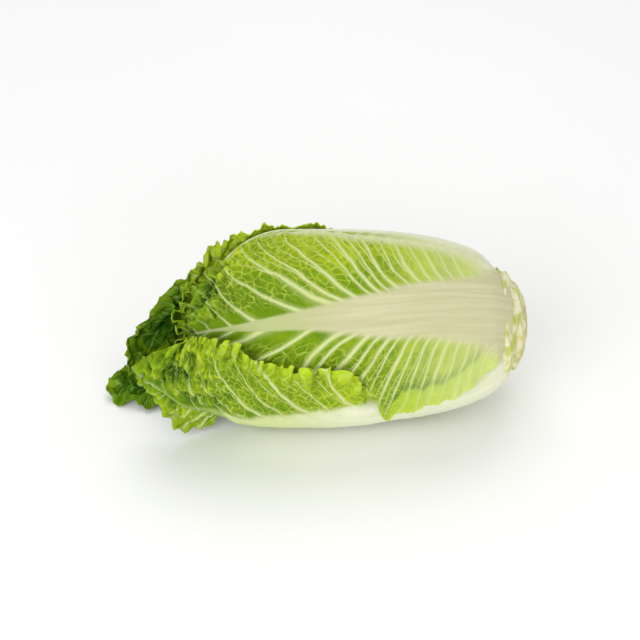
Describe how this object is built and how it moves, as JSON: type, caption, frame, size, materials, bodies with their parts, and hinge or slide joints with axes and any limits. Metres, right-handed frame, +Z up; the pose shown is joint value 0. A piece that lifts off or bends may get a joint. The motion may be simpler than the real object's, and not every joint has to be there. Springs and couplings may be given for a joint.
{
  "type": "napa cabbage",
  "caption": "Barrel-shaped napa cabbage lying on its side, with broad pale midribs, crinkled green wrapper leaves, a frilled open tip and a cut stem end.",
  "frame": {"origin": "middle of the underside, on the surface that the head lies on", "axes": "+X along the head from its frilled tip to its cut stem, +Z up, -Y the side of the front wrapper leaf"},
  "size_m": [0.3123, 0.1526, 0.1396],
  "materials": {
    "cut_stem": "matte, pale cream with a browned cut",
    "heart_leaf": "satin, deep green crinkled leaf",
    "wrapper_leaf": "satin, yellow-green blade with a cream midrib"
  },
  "bodies": {
    "root": {"cut_stem": "cut_stem", "heart": "heart_leaf", "leaf_1_front": "wrapper_leaf", "leaf_2_back": "wrapper_leaf", "leaf_3_top": "wrapper_leaf", "leaf_4_under": "wrapper_leaf", "leaf_5_rear": "wrapper_leaf"}
  },
  "joints": []
}
